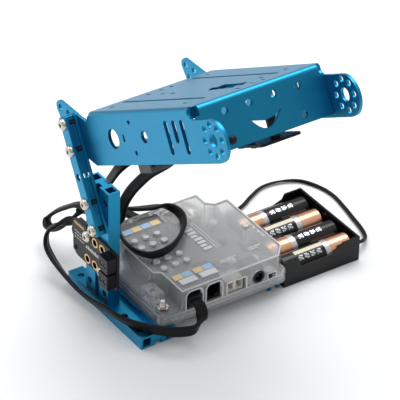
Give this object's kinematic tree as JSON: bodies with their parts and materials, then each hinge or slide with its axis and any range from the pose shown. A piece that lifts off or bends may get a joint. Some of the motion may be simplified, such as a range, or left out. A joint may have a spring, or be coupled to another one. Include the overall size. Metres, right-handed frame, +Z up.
{
  "type": "desk lamp robot arm",
  "caption": "Kit-built leaning arm on beams: a folded pierced metal head over a clear-cased controller, with sensor board, cables and battery tray.",
  "frame": {"origin": "middle of the footprint of beams, head, case and battery tray, cords left out, on the surface it stands on", "axes": "+X along the base beam, the way the head reaches; +Y across, from the post to the battery tray; +Z up"},
  "size_m": [0.2072, 0.1985, 0.1957],
  "materials": {
    "blue_anodised": "satin blue anodised",
    "plated_steel": "plated",
    "clear_plastic": "clear, slightly frosted",
    "circuit_board": "black solder mask",
    "black_plastic": "moulded",
    "white_plastic": "moulded",
    "grey_plastic": "moulded",
    "cable_jacket": "smooth",
    "cell_can": "printed sleeve"
  },
  "bodies": {
    "frame": {"base_beam": "blue_anodised", "support_beam": "blue_anodised", "post_beam": "blue_anodised", "strut_beam": "blue_anodised", "strut_screw_1": "plated_steel", "strut_screw_2": "plated_steel", "strut_screw_3": "plated_steel", "strut_screw_4": "plated_steel", "head_nut_1": "plated_steel", "head_nut_2": "plated_steel", "head_shell": "blue_anodised", "post_screw_1": "plated_steel", "post_screw_2": "plated_steel", "case_screw_1": "plated_steel", "case_screw_2": "plated_steel", "case_nut_1": "plated_steel", "case_nut_2": "plated_steel", "case_bottom": "clear_plastic", "case_top": "clear_plastic", "controller_board": "circuit_board", "jack_1": "black_plastic", "jack_2": "black_plastic", "jack_3": "black_plastic", "jack_4": "black_plastic", "plug_sensor_case": "black_plastic", "plug_aux_case": "black_plastic", "plug_light_case": "black_plastic", "motor_socket": "white_plastic", "power_inlet": "black_plastic", "usb_socket": "plated_steel", "battery_socket": "white_plastic", "switch_body": "plated_steel", "sensor_board": "circuit_board", "sensor_screw_1": "plated_steel", "sensor_screw_2": "plated_steel", "infrared_block_1": "black_plastic", "infrared_block_2": "black_plastic", "sensor_jack": "black_plastic", "plug_sensor_board": "black_plastic", "light_board": "circuit_board", "light_jack": "black_plastic", "plug_light_board": "black_plastic", "light_stud": "plated_steel", "aux_board": "circuit_board", "aux_jack": "grey_plastic", "plug_aux_board": "black_plastic", "aux_stud": "plated_steel", "battery_tray": "black_plastic", "contact_bridge_1": "plated_steel", "contact_bridge_2": "plated_steel", "sensor_cable": "cable_jacket", "light_cable": "cable_jacket", "aux_cable": "cable_jacket", "battery_wire": "cable_jacket"},
    "switch": {"switch_slider": "black_plastic"},
    "button": {"push_button": "white_plastic"},
    "cell_1": {"cell_1": "cell_can"},
    "cell_2": {"cell_2": "cell_can"},
    "cell_3": {"cell_3": "cell_can"},
    "cell_4": {"cell_4": "cell_can"}
  },
  "joints": [
    {"name": "switch_slide", "type": "slide", "parent": "frame", "child": "switch", "axis": [0, 1, 0], "range_m": [0, 0.0022]},
    {"name": "button_press", "type": "slide", "parent": "frame", "child": "button", "axis": [0, 0, -1], "range_m": [0, 0.0005], "stiffness_N_per_m": 400},
    {"name": "cell_1_lift", "type": "slide", "parent": "frame", "child": "cell_1", "axis": [0, 0, 1], "range_m": [0, 0.025]},
    {"name": "cell_2_lift", "type": "slide", "parent": "frame", "child": "cell_2", "axis": [0, 0, 1], "range_m": [0, 0.025]},
    {"name": "cell_3_lift", "type": "slide", "parent": "frame", "child": "cell_3", "axis": [0, 0, 1], "range_m": [0, 0.025]},
    {"name": "cell_4_lift", "type": "slide", "parent": "frame", "child": "cell_4", "axis": [0, 0, 1], "range_m": [0, 0.025]}
  ]
}
